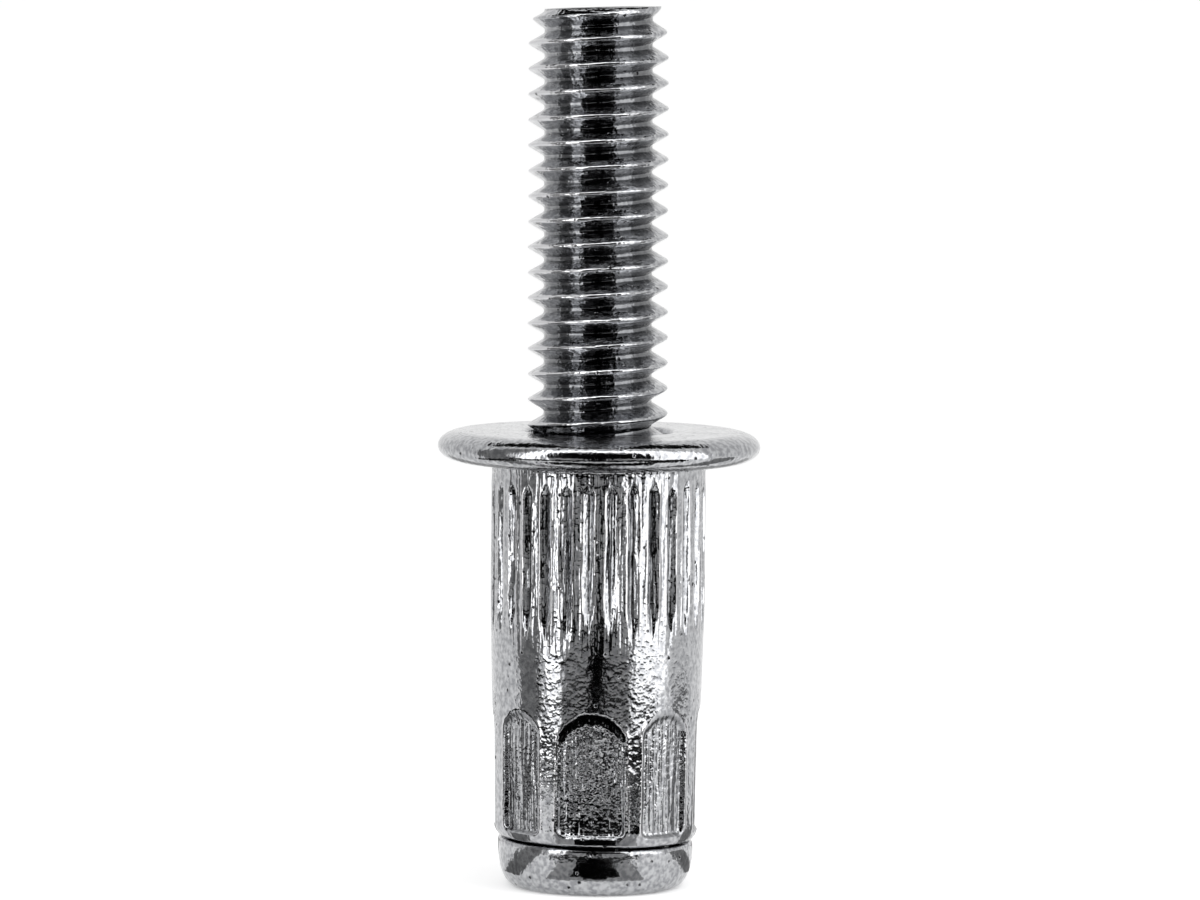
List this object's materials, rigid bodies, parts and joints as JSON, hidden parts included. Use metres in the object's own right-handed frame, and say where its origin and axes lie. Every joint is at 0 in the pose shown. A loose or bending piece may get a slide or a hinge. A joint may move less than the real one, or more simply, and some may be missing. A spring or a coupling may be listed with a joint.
{
  "type": "blind rivet stud",
  "caption": "Two-piece blind rivet stud: a threaded stud held in a flanged, straight-knurled sleeve with a crimped lower end on the stud's rounded head.",
  "frame": {"origin": "centre of the flat foot of the stud's head, on which the part stands", "axes": "+Z along the stud's axis, from the head towards the thread's tip; -Y towards the front"},
  "size_m": [0.009, 0.009, 0.0243],
  "materials": {
    "stud_zinc_plated_steel": "rolled and bright zinc plated, with fine pits",
    "sleeve_zinc_plated_steel": "knurled and bright zinc plated, with fine pits"
  },
  "bodies": {
    "root": {"threaded_stud": "stud_zinc_plated_steel", "rivet_sleeve": "sleeve_zinc_plated_steel"}
  },
  "joints": []
}
